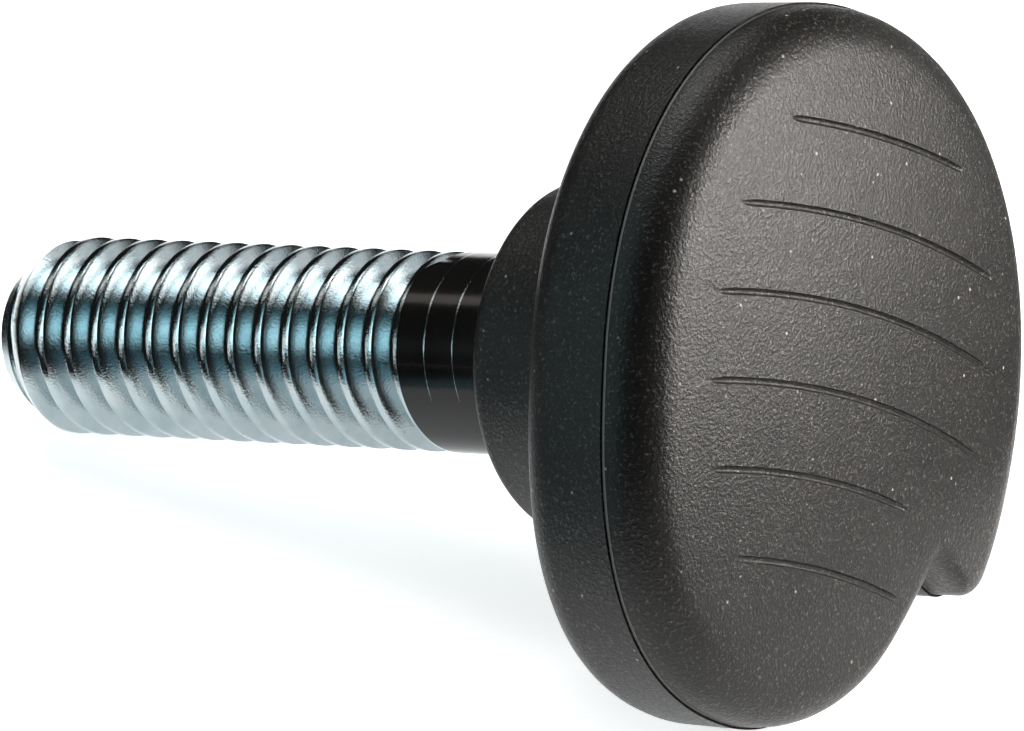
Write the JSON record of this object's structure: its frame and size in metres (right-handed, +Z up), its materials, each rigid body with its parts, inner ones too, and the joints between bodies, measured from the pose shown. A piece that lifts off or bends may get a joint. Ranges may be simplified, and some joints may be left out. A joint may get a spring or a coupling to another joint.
{
  "type": "thumb screw",
  "caption": "Thumb screw with a snail-shaped moulded knob that has a finger catch, and a threaded zinc-plated stud, for clamping by hand.",
  "frame": {"origin": "middle of the bounding box's bottom, on the surface that the screw lies on", "axes": "+X runs along the screw from its tip towards its face, level with the surface; +Z is up"},
  "size_m": [0.0428, 0.027, 0.0262],
  "materials": {
    "black_plastic": "fine spark-eroded mould texture, glossy on the sleeve",
    "zinc_steel": "bright zinc plate with a blue passivation"
  },
  "bodies": {
    "root": {"knob": "black_plastic", "stud": "zinc_steel"}
  },
  "joints": []
}
